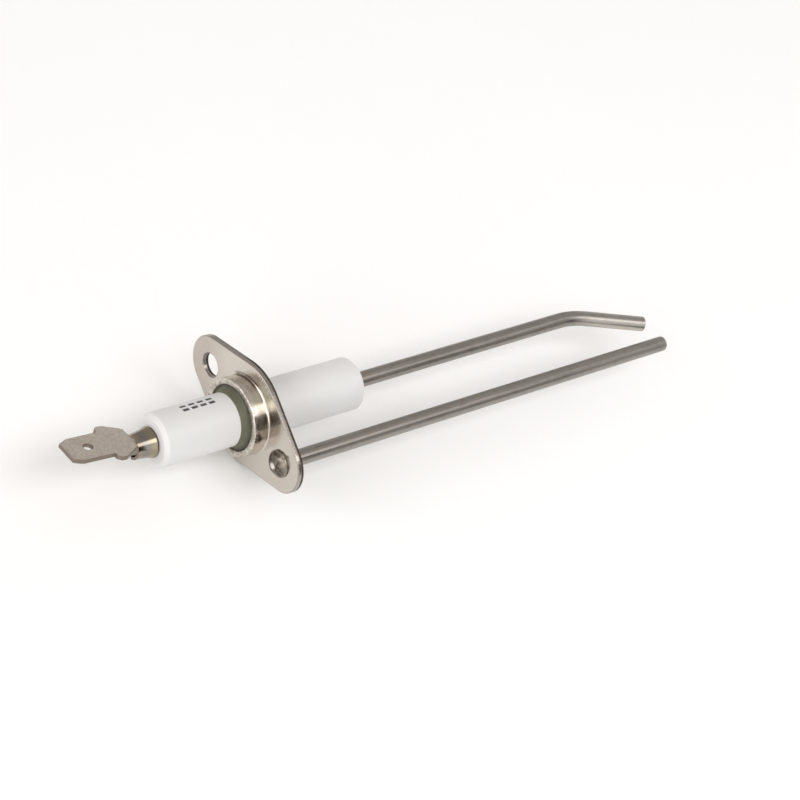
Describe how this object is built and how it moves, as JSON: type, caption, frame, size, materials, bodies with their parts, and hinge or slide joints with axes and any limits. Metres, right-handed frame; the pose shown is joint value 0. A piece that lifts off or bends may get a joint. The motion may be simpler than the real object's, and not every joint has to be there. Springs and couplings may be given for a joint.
{
  "type": "ignition electrode",
  "caption": "Gas burner ignition electrode: a ceramic tube cemented in a rhombic metal flange, with a bent spark rod, a straight earth rod and a flat tab terminal.",
  "frame": {"origin": "On the insulator's axis, in the plane of the flange's mounting face, the face that the rods leave", "axes": "+X along the insulator towards the spark tips, +Y from the insulator's axis to the flange's open screw hole, +Z square to both"},
  "size_m": [0.1342, 0.0352, 0.0208],
  "materials": {
    "flange_nickel": "nickel-plated pressed sheet steel, satin and fairly reflective",
    "alumina": "white alumina, fired, satin",
    "olive_cement": "olive grey refractory cement, slightly glossy and uneven",
    "white_cement": "off-white refractory cement, matte and porous",
    "rod_alloy": "drawn heat-resistant alloy wire, fine lengthwise draw lines",
    "terminal_nickel": "stamped nickel-plated strip, matte blade and bright rolled barrel"
  },
  "bodies": {
    "root": {"mounting_flange": "flange_nickel", "ceramic_insulator": "alumina", "collar_cement": "olive_cement", "bore_cement_terminal_end": "white_cement", "bore_cement_tip_end": "white_cement", "spark_electrode": "rod_alloy", "earth_electrode": "rod_alloy", "tab_terminal": "terminal_nickel"}
  },
  "joints": []
}
